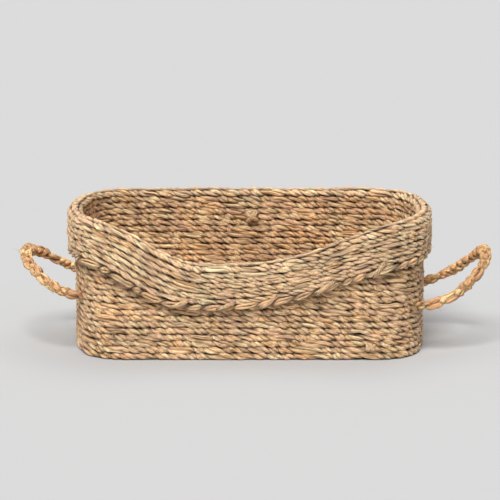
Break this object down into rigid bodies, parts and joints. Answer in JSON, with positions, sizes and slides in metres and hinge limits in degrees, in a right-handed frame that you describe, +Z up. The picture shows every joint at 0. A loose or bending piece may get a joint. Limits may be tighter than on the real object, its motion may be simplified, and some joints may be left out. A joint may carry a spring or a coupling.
{
  "type": "bread basket",
  "caption": "Long twined seagrass bread basket with a dipped front rim, a turned-down cuff with a roped border, and a swinging braided loop handle at each end.",
  "frame": {"origin": "middle of the basket's underside, on the surface that it stands on", "axes": "+X to the basket's right, along its length; +Y to its back, away from the dipped side; +Z up"},
  "size_m": [0.4674, 0.1914, 0.1374],
  "materials": {
    "wall_weft": "dry twisted seagrass",
    "base_weft": "dry twisted seagrass",
    "cuff_weft": "dry twisted seagrass",
    "border": "roped seagrass",
    "stakes": "dry seagrass",
    "braid": "plaited seagrass"
  },
  "bodies": {
    "basket": {"base_ring_1": "base_weft", "base_ring_2": "base_weft", "base_ring_3": "base_weft", "base_ring_4": "base_weft", "base_ring_5": "base_weft", "wall_course_01": "wall_weft", "wall_course_02": "wall_weft", "wall_course_03": "wall_weft", "wall_course_04": "wall_weft", "wall_course_05": "wall_weft", "wall_course_06": "wall_weft", "wall_course_07": "wall_weft", "wall_course_08": "wall_weft", "wall_course_09": "wall_weft", "wall_course_10": "wall_weft", "wall_course_11": "wall_weft", "wall_course_12": "wall_weft", "wall_course_13": "wall_weft", "wall_course_14": "wall_weft", "packed_course_1": "wall_weft", "packed_course_2": "wall_weft", "packed_course_3": "wall_weft", "packed_course_4": "wall_weft", "packed_course_5": "wall_weft", "packed_course_6": "wall_weft", "packed_course_7": "wall_weft", "fold_inner": "cuff_weft", "fold_crest": "cuff_weft", "fold_outer": "cuff_weft", "cuff_course_1": "cuff_weft", "cuff_course_2": "cuff_weft", "cuff_course_3": "cuff_weft", "cuff_course_4": "cuff_weft", "cuff_course_5": "cuff_weft", "cuff_course_6": "cuff_weft", "border_rope": "border", "front_stakes": "stakes", "right_stakes": "stakes", "back_stakes": "stakes", "left_stakes": "stakes", "left_handle_roots": "braid", "left_handle_knots": "braid", "right_handle_roots": "braid", "right_handle_knots": "braid"},
    "left_handle": {"left_handle": "braid"},
    "right_handle": {"right_handle": "braid"}
  },
  "joints": [
    {"name": "left_handle_swing", "type": "hinge", "parent": "basket", "child": "left_handle", "pos_m": [-0.1713, 0, 0.0575], "axis": [0, 1, 0], "range_deg": [-80, 35]},
    {"name": "right_handle_swing", "type": "hinge", "parent": "basket", "child": "right_handle", "pos_m": [0.17596, 0, 0.048], "axis": [0, -1, 0], "range_deg": [-65, 35]}
  ]
}
